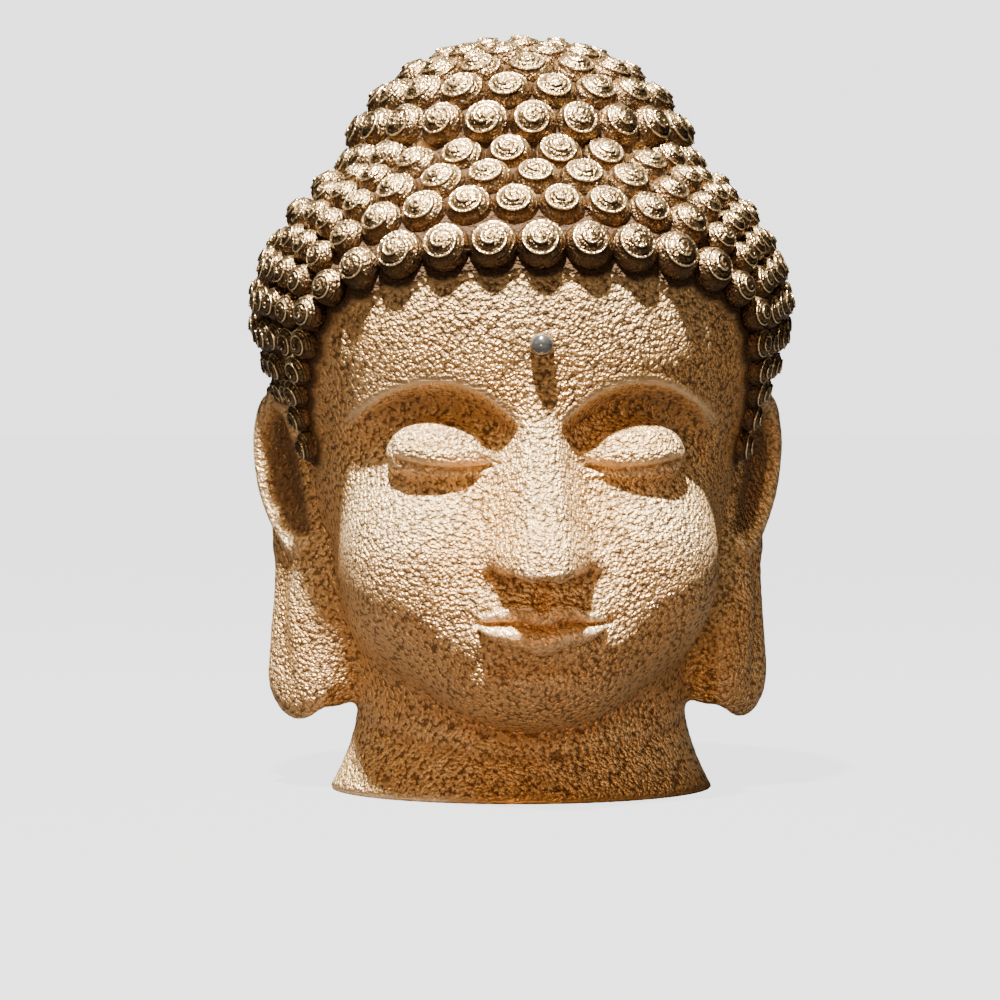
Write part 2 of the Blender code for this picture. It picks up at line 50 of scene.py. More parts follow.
camData = bpy.data.cameras.new("camera")
camData.lens = shot["lens"]
camData.sensor_width = 36.0
camData.shift_x, camData.shift_y = shot["shift"]
camera = bpy.data.objects.new("camera", camData)
turn = math.radians(shot["turn"])
camera.location = (math.sin(turn) * shot["distance"], -math.cos(turn) * shot["distance"], shot["height"])
camera.rotation_euler = (math.radians(90.0), 0.0, turn)
bpy.context.scene.collection.objects.link(camera)
bpy.context.scene.camera = camera
print("camera placed")


# forms as distance-like fields, in millimetres: below zero is inside

def blend(first, second, reach):
    share = np.clip(0.5 + 0.5 * (second - first) / reach, 0.0, 1.0)
    return second + (first - second) * share - reach * share * (1.0 - share)


def carve(first, second, reach):
    return -blend(-first, second, reach)


def ramp(value):
    value = np.clip(value, 0.0, 1.0)
    return value * value * (3.0 - 2.0 * value)


def hump(value):
    return np.exp(-value * value)


def egg(x, y, z, centre, radii):
    ex = (x - centre[0]) / radii[0]
    ey = (y - centre[1]) / radii[1]
    ez = (z - centre[2]) / radii[2]
    near = np.sqrt(ex * ex + ey * ey + ez * ez)
    slope = np.sqrt((ex / radii[0]) ** 2 + (ey / radii[1]) ** 2 + (ez / radii[2]) ** 2)
    return near * (near - 1.0) / np.maximum(slope, 1e-9)


def rod(x, y, z, start, end):
    run = [end[axis] - start[axis] for axis in range(3)]
    length = run[0] ** 2 + run[1] ** 2 + run[2] ** 2
    share = ((x - start[0]) * run[0] + (y - start[1]) * run[1] + (z - start[2]) * run[2]) / length
    share = np.clip(share, 0.0, 1.0)
    offX = x - start[0] - share * run[0]
    offY = y - start[1] - share * run[1]
    offZ = z - start[2] - share * run[2]
    return np.sqrt(offX ** 2 + offY ** 2 + offZ ** 2) - (start[3] + (end[3] - start[3]) * share)


def chain(x, y, z, points, reach):
    shape = rod(x, y, z, points[0], points[1])
    for start, end in zip(points[1:-1], points[2:]):
        shape = blend(shape, rod(x, y, z, start, end), reach)
    return shape


def rounded(points, parts=4):
    # the same line of points as a smooth curve, in short straight rods
    line = np.array([points[0]] + list(points) + [points[-1]], float)
    curve = []
    for before, start, end, after in zip(line, line[1:], line[2:], line[3:]):
        for share in np.arange(parts) / parts:
            bend = (2.0 * before - 5.0 * start + 4.0 * end - after) * share
            bend = bend + (3.0 * start - before - 3.0 * end + after) * share ** 2
            curve.append(start + 0.5 * share * (end - before + bend))
    return [tuple(point) for point in curve] + [tuple(line[-1])]


head = {
    "hairWidth": 306.0, "hairDepth": 297.0, "knotWidth": 204.0, "height": 420.0, "curlRise": 12.5,
    "neckWidth": 183.0, "neckDepth": 164.0, "baseWidth": 214.0, "baseRound": 1.5,
    "hairline": 300.0, "brow": 207.5, "noseBase": 125.0, "mouth": 97.5, "eye": (48.0, 186.0),
    "nape": 124.0, "rowPitch": 20.3, "curlPitch": 24.6, "skullBack": 8.0,
    "knotBack": 16.0, "knotRise": 62.5, "knotBlend": 10.0,
    "drawnX": 139.0, "drawnY": 136.0,  # the face and the ears are drawn for a skull of these half sizes
    "cell": 2.14, "triangles": 194000,
}
head["skullX"] = head["hairWidth"] / 2.0 - head["curlRise"]
head["skullY"] = head["hairDepth"] / 2.0 - head["curlRise"]
head["knotX"] = head["knotWidth"] / 2.0 - head["curlRise"]
head["knotZ"] = head["height"] - head["curlRise"] - head["knotRise"]


def scalp(x, y, z):
    skull = egg(x, y, z, (0.0, head["skullBack"], 262.0), (head["skullX"], head["skullY"], 105.0))
    knot = egg(x, y, z, (0.0, head["knotBack"], head["knotZ"]), (head["knotX"], head["knotX"], head["knotRise"]))
    return blend(skull, knot, head["knotBlend"])


def cheeksAndJaw(x, y, z):
    x = x / (head["skullX"] / head["drawnX"])
    y = y / (head["skullY"] / head["drawnY"])
    shape = egg(x, y, z, (0.0, 12.0, 190.0), (117.0, 124.0, 122.0))
    shape = blend(shape, egg(x, y, z, (0.0, 46.0, 190.0), (108.0, 96.0, 105.0)), 22.0)
    shape = blend(shape, egg(x, y, z, (0.0, -20.0, 112.0), (99.0, 100.0, 73.0)), 26.0)
    shape = blend(shape, egg(x, y, z, (0.0, -88.0, 70.0), (46.0, 36.0, 28.0)), 30.0)
    shape = blend(shape, egg(x, y, z, (52.0, -72.0, 130.0), (44.0, 44.0, 48.0)), 28.0)
    return blend(shape, egg(x, y, z, (0.0, -100.0, 98.0), (44.0, 30.0, 30.0)), 24.0)


def skullForm(x, y, z):
    x = np.abs(x)
    return blend(scalp(x, y, z), cheeksAndJaw(x, y, z), 22.0)


def browEdge(x):
    reach = (x - 54.0) / 50.0
    return 225.0 - np.where(reach < 0.0, 31.0, 26.0) * np.abs(reach) ** 2.1


def browCarving(x, z):
    below = browEdge(x) - z
    width = ramp((x - 3.0) / 13.0) * ramp((106.0 - x) / 38.0)
    socket = 10.0 * ramp(below / 9.0) * hump(np.maximum(below - 12.0, 0.0) / 27.0) * width
    line = ramp((x - 8.0) / 8.0) * ramp((104.0 - x) / 20.0)
    rim = 1.8 * hump((below + 0.6) / 2.6) * line
    swell = 1.6 * ramp((2.0 - below) / 4.0) * hump(np.maximum(-below, 0.0) / 22.0) * line
    return socket - rim - swell


def lidLine(x):
    share = (x - head["eye"][0]) / 26.0
    return share, head["eye"][1] - 5.5 + 3.4 * share * share + 1.2 * share


def eyeCarving(x, z):
    share, slit = lidLine(x)
    above = z - slit
    almond = ramp((1.06 - np.abs(share)) / 0.16)
    upper = 1.8 * ramp((above + 0.7) / 1.2) * hump(np.maximum(above - 2.0, 0.0) / 6.5)
    lower = 1.0 * ramp(-above / 2.5) * hump(np.maximum(-above - 3.0, 0.0) / 3.0)
    cut = 2.3 * hump((above + 0.9) / 1.4)
    crease = 0.8 * hump((above - 13.0 + 4.5 * share * share) / 1.5) * ramp((1.15 - np.abs(share)) / 0.3)
    return almond * (cut - upper - lower) + crease


def nose(x, y, z, shape):
    base = head["noseBase"]
    run = np.clip((212.0 - z) / 78.0, -0.3, 1.1)
    ridge = -121.0 - 5.0 * run - 31.0 * np.clip(run, 0.0, 2.0) ** 1.25
    half = 7.0 + 4.0 * np.clip(run, 0.0, 1.0) ** 1.6 + 2.5 * np.clip(-run, 0.0, 1.0)
    behind = y - ridge
    flank = (x - half - 0.55 * np.maximum(behind, -2.0)) * 0.86
    wedge = -blend(-flank, behind * 0.93, 6.0)
    wedge = -blend(-wedge, z - base - 2.0 - 0.20 * (y + 130.0), 7.0)
    wedge = -blend(-wedge, head["brow"] + 18.5 - z, 12.0)
    wedge = np.maximum(wedge, y + 80.0)
    shape = blend(shape, wedge, 10.0)
    shape = blend(shape, egg(x, y, z, (0.0, -142.5, base + 10.5), (13.5, 14.0, 12.0)), 7.0)
    shape = blend(shape, egg(x, y, z, (15.5, -127.5, base + 9.5), (9.2, 14.5, 10.5)), 5.0)
    shape = shape + 0.9 * hump((x - 25.0 + 0.1 * (z - 130.0)) / 2.4) * hump((z - base - 11.0) / 10.0) * ramp(-y / 60.0)
    return carve(shape, egg(x, y, z, (9.0, -134.5, base - 4.0), (4.4, 8.0, 5.5)), 3.0)


def lipLines(x):
    half = 36.0
    share = np.clip(x / half, 0.0, 1.0)
    parting = head["mouth"] - 1.3 * hump(x / 7.0) + 1.1 * hump((x - 14.0) / 8.0) + 2.2 * share ** 3
    upper = (10.2 - 2.4 * hump(x / 4.5)) * (1.0 - share ** 2.0) ** 0.85
    lower = 14.0 * (1.0 - share ** 2.3) ** 0.8
    return half, share, parting, upper, lower


def mouthCarving(x, z):
    half, share, parting, upperReach, lowerReach = lipLines(x)
    above = z - parting
    rise = above / np.maximum(upperReach, 0.8)
    fall = -above / np.maximum(lowerReach, 0.8)
    upper = np.sin(np.clip(rise, 0.0, 1.0) * math.pi / 2.0) ** 0.6 * ramp((1.28 - rise) / 0.30)
    lower = np.sin(np.clip(fall, 0.0, 1.0) * math.pi) ** 0.6
    lips = (4.4 * upper + 6.6 * lower) * ramp((half + 1.0 - x) / 6.0) * (1.0 - 0.4 * share * share)
    groove = 2.2 * hump(above / 1.5) * ramp((half + 4.0 - x) / 7.0)
    corner = 1.6 * hump((x - 39.5) / 6.5) * hump((z - head["mouth"] - 2.5) / 6.0)
    hollow = 3.6 * hump(x / 26.0) * hump((z - head["mouth"] + 22.0) / 6.5)
    channel = hump(x / 3.4) - 0.75 * hump((x - 7.5) / 3.2)
    channel = 1.6 * channel * ramp((z - 104.0) / 4.0) * ramp((124.0 - z) / 4.0)
    return groove + corner + hollow + channel - lips


def face(x, y, z, shape):
    x = x / (head["skullX"] / head["drawnX"])
    y = y / (head["skullY"] / head["drawnY"])
    front = ramp((-y - 10.0) / 50.0)
    shape = shape + front * browCarving(x, z)
    eyeball = egg(x, y, z, (head["eye"][0] + 1.0, -91.0, head["eye"][1] + 1.0), (30.0, 22.5, 19.5))
    shape = blend(shape, eyeball, 6.0)
    shape = shape + front * eyeCarving(x, z)
    shape = nose(x, y, z, shape)
    return shape + front * mouthCarving(x, z)


def neck(x, y, z):
    half = head["neckWidth"] / 2.0
    deep = head["neckDepth"] / 2.0
    flare = (head["baseWidth"] - head["neckWidth"]) / 2.0 * np.clip((46.0 - z) / 46.0, 0.0, 1.2) ** 1.7
    around = np.sqrt((x / (half + flare)) ** 2 + ((y - 10.0) / (deep + flare)) ** 2)
    shape = (around - 1.0) * (half + deep) / 2.0
    fold = 41.0 - 20.0 * np.cos(np.clip(x / half, 0.0, 1.0) * 1.4)
    shape = shape + 1.6 * hump((z - fold) / 3.0) * ramp(-y / 30.0)
    return np.maximum(shape, z - 130.0)


ears = {
    "plate": [(0, 192, 0, 24), (-2, 150, 0, 21), (-2, 120, 0, 21.5), (0, 70.5, 0, 24.5)],
    "rim": [(-16, 196, 6, 5), (-5, 211, 7.5, 5.5), (8, 210, 8, 5.5), (14.5, 197, 8, 5), (15.5, 181, 8, 4.8),
            (14, 166, 8, 4.6), (9, 153, 7.5, 4.5), (1, 142, 7, 4.5), (-8, 135, 6.5, 4.5), (-14, 138, 6, 4)],
    "channel": [(-2, 199, 15, 7), (-3, 180, 16, 11), (-6, 160, 16, 11.5), (-14, 147, 14, 7)],
    "flat": 47.0 / 16.5, "stretch": 178.0 / 190.0, "top": 224.0,
}
earRim = rounded(ears["rim"])


def earParts(x, y, level):
    # the ear is drawn from 220 down to 42 and then stretched to its own length
    z = 220.0 - (ears["top"] - level) * ears["stretch"]
    lean = 3.0 + 2.0 * ramp((z - 122.0) / 15.0) + 3.5 * ramp((z - 140.0) / 55.0) + ramp((135.0 - z) / 60.0)
    offX = x - (119.0 + lean) * head["skullX"] / head["drawnX"]
    offY = y - (12.0 + 7.0 * ramp((z - 120.0) / 85.0)) * head["skullY"] / head["drawnY"]
    across = offX * 0.62 + offY * 0.785
    out = offX * 0.785 - offY * 0.62
    plate = chain(across, z, out * ears["flat"], ears["plate"], 3.0) / 2.0
    rim = chain(across, z, out, earRim, 0.02)
    channel = chain(across, z, out, ears["channel"], 4.0)
    dish = egg(across, out, z, (-1, 17, 92), (11, 10, 34))
    return z, plate, rim, channel, dish


def ear(x, y, level, body):
    z, plate, rim, channel, dish = earParts(x, y, level)
    shape = carve(carve(blend(plate, rim, 3.5), channel, 3.0), dish, 8.0)
    root = egg(x, y, z, (104.0 * head["skullX"] / head["drawnX"], 4.0, 101.0), (25.0, 14.0, 48.0))
    return blend(blend(body, root, 10.0), shape, 7.0)


def headForm(x, y, z):
    x = np.abs(x)
    shape = face(x, y, z, skullForm(x, y, z))
    shape = blend(shape, neck(x, y, z), 9.0)
    sides = x > 0.55 * head["skullX"]
    shape[sides] = ear(x[sides], y[sides], z[sides], shape[sides])
    return -blend(-shape, z, head["baseRound"])


# where the curls sit: rows that follow the hairline in front, level rows behind and rings on the knot

rows = {
    "crown": 295.5, "foot": 205.0, "tail": 13.0, "knotFoot": 352.0,  # the hairline's arch over the face
    "temple": 61.0, "templeSize": 0.72, "lean": 13.0, "bend": 252.0,  # its sides go back below the bend
    "step": math.degrees(0.76 * head["rowPitch"] / head["skullX"]),
    "nearest": 0.76, "ledge": 0.2 * head["curlRise"],
}


def skullRadius(angle, height, back):
    level = height + np.zeros_like(angle)
    inner = np.zeros_like(angle)
    outer = np.full_like(angle, head["skullX"] + head["skullY"])
    for step in range(34):
        middle = (inner + outer) / 2.0
        inside = skullForm(middle * np.sin(angle), back - middle * np.cos(angle), level) < 0.0
        inner = np.where(inside, middle, inner)
        outer = np.where(inside, outer, middle)
    return inner


def walkedHeights(stop):
    side = np.array([math.pi / 2.0])
    heights = np.linspace(head["hairline"], stop, 241)
    widths = [skullRadius(side, height, head["skullBack"])[0] for height in heights]
    lengths = np.concatenate([[0.0], np.cumsum(np.hypot(np.diff(heights), np.diff(widths)))])
    count = round(lengths[-1] / head["rowPitch"])
    return np.interp(np.arange(1, count + 1) * lengths[-1] / count, lengths, heights)


def curlSize(angle, height):
    # the curls shrink towards the temples
    small = ramp((angle - 34.0) / 22.0) * ramp((108.0 - angle) / 12.0) * ramp((348.0 - height) / 22.0)
    return 1.0 - (1.0 - rows["templeSize"]) * small


def walkRow(angle, height, half, fromBack=False):
    # seats at even steps along one row, each step as long as the curls there are wide
    back = head["skullBack"] + (head["knotBack"] - head["skullBack"]) * ramp((height - 335.0) / 30.0)
    lean = np.radians(angle)
    reach = skullRadius(lean, height, back)
    path = np.stack([reach * np.sin(lean), back - reach * np.cos(lean), height], 1)
    size = curlSize(angle, height)
    steps = np.linalg.norm(np.diff(path, axis=0), axis=1) * 2.0 / (size[1:] + size[:-1])
    walked = np.concatenate([[0.0], np.cumsum(steps)]) / head["curlPitch"]
    count = max(1, round(walked[-1] - half))
    marks = (np.arange(count + 1) + half) * walked[-1] / (count + half)
    if fromBack:
        marks = walked[-1] - marks
    return [[float(np.interp(mark, walked, line)) for line in (*path.T, size, angle)] for mark in marks]


def hairlineArch(row, crown):
    # a row follows the hairline: level over the brow, then down in front of the ear
    side = rows["temple"] + rows["step"] * row
    turning = np.linspace(0.0, math.pi / 2.0, 361)
    angle = side * np.sin(turning) ** (2.0 / 3.0)
    height = rows["foot"] + (crown - rows["foot"]) * np.clip(np.cos(turning), 0.0, 1.0) ** (2.0 / 3.0)
    tail = np.linspace(rows["foot"], rows["foot"] - rows["tail"], 20)[1:]
    angle = np.concatenate([angle, np.full(len(tail), side)])
    height = np.concatenate([height, tail])
    return angle + rows["lean"] * ramp((rows["bend"] - height) / 50.0), height


def addSeat(found, seat, ledge=0.0):
    x, y, z, size = seat[:4]
    for other in found:
        apart = rows["nearest"] * head["curlPitch"] * (size + other[3]) / 2.0
        if math.dist((x, y, z), other[:3]) < apart:
            return
        if x > 1.0 and math.dist((-x, y, z), other[:3]) < apart:
            return
    found.append((x, y, z, size, ledge))


def curlSeats():
    top = head["knotZ"] + head["knotRise"]
    upper = walkedHeights(top)[:-1]
    crowns = [rows["crown"]] + [height for height in upper if height < rows["knotFoot"]]
    whole = len(crowns)
    crowns += [rows["knotFoot"], rows["knotFoot"] + 5.0]
    found = []
    for row, crown in enumerate(crowns):
        angle, height = hairlineArch(row, crown)
        kept = height < (341.0 if row >= whole else 400.0)
        for seat in walkRow(angle[kept], height[kept], 0.5 * (row % 2)):
            besideEar = row > 0 and seat[4] > 70.0 and seat[2] < 193.0 + 0.3 * seat[4]
            if not besideEar and (row == 0 or seat[2] > 198.0):
                addSeat(found, seat, 0.0 if row else rows["ledge"])
    levels = [(index + 1, height) for index, height in enumerate(upper)] + [(0, head["hairline"])]
    levels += [(-index - 1, height) for index, height in enumerate(walkedHeights(head["nape"]))]
    for row, height in sorted(levels, reverse=True):
        start = 0.0
        if height < rows["knotFoot"]:
            start = 112.0 if height < 226.0 else 40.0
            if 226.0 <= height < 262.0:
                start = rows["temple"] + rows["step"] * len(crowns)
        angle = np.linspace(start, 180.0, 721)
        for seat in walkRow(angle, np.full(721, height), 0.5 * (row % 2), height < rows["knotFoot"]):
            addSeat(found, seat)
    addSeat(found, (0.0, head["knotBack"], top, 1.0))
    found += [(-seat[0],) + seat[1:] for seat in found if seat[0] > 6.0]
    found = np.array(found)
    return found[:, :3], found[:, 3], found[:, 4]


def slopeOf(form, points, step=0.4):
    x, y, z = points.T
    slope = [form(x + step, y, z) - form(x - step, y, z), form(x, y + step, z) - form(x, y - step, z),
             form(x, y, z + step) - form(x, y, z - step)]
    return np.stack(slope, 1) / (2.0 * step)


def outwardOf(form, points):
    slope = slopeOf(form, points)
    return slope / np.linalg.norm(slope, axis=1)[:, None]


seats, seatSizes, seatLedges = curlSeats()
print("curl seats", len(seats))


# meshing a form: a net of cells near its surface, then each point settled onto it

def sampled(form, low, shape, cell, block=8):
    centres = [low[a] + (np.arange(shape[a]) + 0.5) * cell * block for a in range(3)]
    grid = np.meshgrid(*centres, indexing="ij")
    coarse = form(*[part.ravel() for part in grid]).reshape(shape)
    values = np.where(coarse > 0.0, 1e3, -1e3).astype(np.float32)
    for axis in range(3):
        values = values.repeat(block, axis)
    values = np.pad(values, ((0, 1), (0, 1), (0, 1)), mode="edge")
    steps = [part.ravel() for part in np.meshgrid(*[np.arange(block + 1)] * 3, indexing="ij")]
    near = np.argwhere(np.abs(coarse) < 2.2 * cell * block)
    for start in range(0, len(near), 600):
        some = near[start:start + 600]
        nodes = [(some[:, a, None] * block + steps[a]).ravel() for a in range(3)]
        values[tuple(nodes)] = form(*[low[a] + nodes[a] * cell for a in range(3)])
    return values


def netOf(values, low, cell):
    inside = values < 0.0
    shape = np.array(values.shape) - 1
    corners = [(a, b, c) for a in (0, 1) for b in (0, 1) for c in (0, 1)]
    count = sum(inside[a:shape[0] + a, b:shape[1] + b, c:shape[2] + c].astype(np.int8) for a, b, c in corners)
    cut = (count > 0) & (count < 8)
    cells = np.argwhere(cut)
    names = np.full(shape, -1, np.int64)
    names[cut] = np.arange(len(cells))
    at = np.stack([values[tuple((cells + corner).T)] for corner in corners], 1)
    total, hits = np.zeros((len(cells), 3)), np.zeros(len(cells))
    for i, start in enumerate(corners):
        for j, end in enumerate(corners):
            if j <= i or sum(abs(start[k] - end[k]) for k in range(3)) != 1:
                continue
            crossed = (at[:, i] < 0.0) != (at[:, j] < 0.0)
            share = np.where(crossed, at[:, i] / np.where(crossed, at[:, i] - at[:, j], 1.0), 0.0)[:, None]
            total += np.where(crossed[:, None], np.array(start) + share * (np.array(end) - np.array(start)), 0.0)
            hits += crossed
    faces = []
    for axis in range(3):
        side, other = (axis + 1) % 3, (axis + 2) % 3
        before = np.take(inside, range(inside.shape[axis] - 1), axis)
        after = np.take(inside, range(1, inside.shape[axis]), axis)
        edges = np.argwhere(before != after)
        stepSide, stepOther = np.eye(3, dtype=int)[side], np.eye(3, dtype=int)[other]
        ring = [edges - stepSide - stepOther, edges - stepOther, edges, edges - stepSide]
        quads = np.stack([names[tuple(place.T)] for place in ring], 1)
        leaving = before[tuple(edges.T)]
        quads[~leaving] = quads[~leaving][:, ::-1]
        faces.append(quads)
    return low + (cells + total / hits[:, None]) * cell, np.concatenate(faces)


def settled(form, points, rounds=3, limit=1.2):
    for step in range(rounds):
        value = form(*points.T)
        slope = slopeOf(form, points)
        move = -(value / np.maximum((slope * slope).sum(1), 0.15))[:, None] * slope
        size = np.linalg.norm(move, axis=1)[:, None]
        points = points + move * np.minimum(1.0, limit / np.maximum(size, 1e-9))
    return points


def meshFrom(name, points, faces):
    mesh = bpy.data.meshes.new(name)
    mesh.from_pydata((points * 0.001).tolist(), [], faces.tolist())
    mesh.update()
    return mesh


def objectFrom(name, mesh):
    made = bpy.data.objects.new(name, mesh)
    bpy.context.scene.collection.objects.link(made)
    return made


def bakedMesh(made):
    graph = bpy.context.evaluated_depsgraph_get()
    mesh = bpy.data.meshes.new_from_object(made.evaluated_get(graph))
    made.modifiers.clear()
    old = made.data
    made.data = mesh
    bpy.data.meshes.remove(old)
    return mesh


def vertexArray(mesh, what="co"):
    flat = np.empty(len(mesh.vertices) * 3, np.float64)
    if what == "co":
        mesh.vertices.foreach_get("co", flat)
    else:
        mesh.vertex_normals.foreach_get("vector", flat)
    return flat.reshape(-1, 3)


def edgeArray(mesh):
    flat = np.empty(len(mesh.edges) * 2, np.int64)
    mesh.edges.foreach_get("vertices", flat)
    return flat.reshape(-1, 2)


def spread(edges, values, rounds):
    # averages a value with its neighbours' along the edges
    count = np.bincount(edges.ravel(), minlength=len(values)).astype(float)
    for step in range(rounds):
        total = np.bincount(edges[:, 0], values[edges[:, 1]], len(values))
        total += np.bincount(edges[:, 1], values[edges[:, 0]], len(values))
        values = 0.5 * values + 0.5 * total / np.maximum(count, 1.0)
    return values


def writeAttribute(mesh, name, values):
    layer = mesh.attributes.new(name, "FLOAT", "POINT")
    layer.data.foreach_set("value", values.astype(np.float32))


def hashed(cells, salt):
    # a steady number between 0 and 1 for each whole cell
    stirred = cells[..., 0] * 73856093 ^ cells[..., 1] * 19349663 ^ cells[..., 2] * 83492791 ^ salt * 2654435761
    stirred = (stirred ^ (stirred >> 13)) * 1274126177 & 0x7FFFFFFF
    return ((stirred ^ (stirred >> 16)) & 0xFFFFF) / 1048576.0


def pebbles(points, size):
    # distance to the nearest of a scattered set of points, one to each cell
    base = np.floor(points / size).astype(np.int64)
    nearest = np.full(len(points), 9.0)
    for i in (-1, 0, 1):
        for j in (-1, 0, 1):
            for k in (-1, 0, 1):
                cells = base + (i, j, k)
                spot = np.stack([cells[:, a] + hashed(cells, a + 1) for a in range(3)], 1)
                nearest = np.minimum(nearest, np.linalg.norm(points / size - spot, axis=1))
    return nearest


skin = {
    "pebble": 4.6, "pebbleHeight": 0.32, "swell": 17.0, "swellHeight": 0.22, "edgeSmooth": 0.7,
    "hairLedge": 3.5, "hairReach": 13.0, "frontReach": 3.5, "hidden": 9.0,  # around each curl
    "browSmooth": 0.65, "lidSmooth": 0.6, "lipSmooth": 0.35, "earSmooth": 0.2,
}


def makeHead():
    cell = head["cell"]
    low = np.array((-170.0, -180.0, -8.0))
    shape = np.ceil((np.array((170.0, 180.0, 428.0)) - low) / (cell * 8)).astype(int)
    shape[0] += shape[0] % 2
    low[0] = -shape[0] * cell * 4
    points, faces = netOf(sampled(headForm, low, shape, cell), low, cell)
    points = settled(headForm, points)
    points[:, 2] = np.maximum(points[:, 2], 0.0)
    print("head net", len(points), "points")
    made = objectFrom("head", meshFrom("head", points, faces))
    covered = underHair(points, skin["hidden"])
    group = made.vertex_groups.new(name="hidden")
    group.add(np.nonzero(covered > 0.99)[0].tolist(), 1.0, "REPLACE")
    shown = int((covered < 0.99).sum()) * 2
    fewer = made.modifiers.new("fewer", "DECIMATE")
    fewer.ratio = min(1.0, min(head["triangles"], shown + 7000) / 2.0 / len(faces))
    fewer.vertex_group = group.name
    fewer.vertex_group_factor = 1000.0
    mesh = bakedMesh(made)
    made.vertex_groups.clear()
    print("head kept", len(mesh.polygons), "faces")
    finishHead(mesh)
    return made


def underHair(points, margin, frontMargin=0.0):
    # 1 well under the curls, 0 clear of them
    least = np.full(len(points), 1e9)
    for seat, size, ledge in zip(seats, seatSizes, seatLedges):
        own = margin + (frontMargin if ledge > 0.0 else 0.0)
        least = np.minimum(least, np.sqrt(((points - seat) ** 2).sum(1)) - own * size)
    return 1.0 - ramp(least / 3.0)


def finishHead(mesh):
    points = vertexArray(mesh) * 1000.0
    normals = vertexArray(mesh, "normal")
    edges = edgeArray(mesh)
    mean = np.stack([spread(edges, points[:, a], 1) for a in range(3)], 1)
    bend = ((points - mean) * normals).sum(1)
    bend = spread(edges, np.clip(bend, -0.8, 0.8), 1)
    # this mask also sets where the finish paints the scalp near black as painted shade
    hair = underHair(points, skin["hairReach"], skin["frontReach"])
    hair = np.maximum(hair, ramp((spread(edges, hair, 11) - 0.55) / 0.15))  # the gaps between curls too
    crisp = np.clip(bend / 0.27, 0.0, 1.0)
    # the finish paints hollows darker: partly a dark wash, partly painted shade
    hollow = np.clip(-bend / 0.27, 0.0, 1.0)
    bed = spread(edges, hollow, 4)
    x = np.abs(points[:, 0]) / (head["skullX"] / head["drawnX"])
    z = points[:, 2]
    fronts = points[:, 1] < -60.0
    lids, slit = lidLine(x)
    half, _, parting, upper, lower = lipLines(x)
    lips = fronts * ramp((half - x) / 5.0) * ramp((z - parting + lower) / 3.0) * ramp((parting + upper - z) / 3.0)
    browLine = fronts * hump((browEdge(x) - z + 1.0) / 3.5) * ramp((x - 8.0) / 8.0) * ramp((106.0 - x) / 10.0)
    lidRim = fronts * hump((z - slit) / 2.6) * ramp((1.1 - np.abs(lids)) / 0.15)
    beside = np.abs(points[:, 0]) > 100.0
    rim, channel = earParts(np.abs(points[:, 0]), points[:, 1], z)[2:4]
    inEar = ramp((4.0 - np.minimum(rim, channel)) / 3.0) * beside
    smooth = skin["browSmooth"] * browLine + skin["lidSmooth"] * lidRim
    smooth = np.clip(smooth + skin["lipSmooth"] * lips + skin["earSmooth"] * inEar, 0.0, 1.0)
    # the ear's hollow, which the finish paints dark as painted shade
    deep = ramp((6.0 - channel) / 5.0) * ramp((rim - 0.3) / 2.0) * beside
    plain = np.clip(smooth + skin["edgeSmooth"] * crisp, 0.0, 1.0)
    under = ramp((z - 1.0) / 3.0)
    rough = (1.0 - plain) * (1.0 - hair) * under
    cells = pebbles(points, skin["pebble"])
    swell = pebbles(points + 500.0, skin["swell"])
    lift = skin["pebbleHeight"] * (0.55 - cells) * 1.6 * rough
    lift += skin["swellHeight"] * (0.55 - swell) * (1.0 - hair) * under * (1.0 - smooth)
    lift += skin["hairLedge"] * hair
    # painted shade: how far the skin faces down, for the finish to paint it darker and warmer there
    low = ramp((0.30 - normals[:, 2]) / 0.4)
    points = points + normals * lift[:, None]
    points[:, 2] = np.maximum(points[:, 2], 0.0)
    mesh.vertices.foreach_set("co", (points * 0.001).ravel())
    for name, values in (("rough", rough), ("hair", hair), ("crisp", crisp), ("hollow", np.maximum(hollow, bed)),
                         ("deep", deep), ("low", low)):
        writeAttribute(mesh, name, values)
    mesh.shade_smooth()
    mesh.update()


# one curl: a dome wound with a thin raised cord, like a snail shell

curl = {
    "radius": 13.5, "rise": 13.6, "sunk": 8.0, "pitch": 0.262, "shoulder": 74.0,
    "windings": [(2.95, -52), (2.87, -34), (3.05, -66)],  # turns, and the angle where the cord ends
    "finePoints": 28, "plainPoints": 16, "variation": 0.03, "twist": 9.0,
    # across one turn: share of the turn, height off the dome, how much of a crest, how much of a groove
    "profile": [(0.0, -0.35, 0.0, 0.2), (0.26, -0.15, 0.0, 0.0), (0.50, -0.75, 0.0, 1.0), (0.60, 0.55, 0.9, 0.0),
                (0.70, 0.65, 1.0, 0.0), (0.82, -0.55, 0.0, 0.9)],
}


def curlPoint(around, share, lift):
    lean = share * math.pi / 2.0
    flat = curl["radius"] * math.sin(lean) ** 1.04
    high = curl["rise"] * (0.86 * math.cos(lean) + 0.14 * (1.0 - flat / curl["radius"]))
    flat += lift * math.sin(lean * 0.9)
    high += lift * math.cos(lean * 0.9)
    return flat * math.cos(around), flat * math.sin(around), high


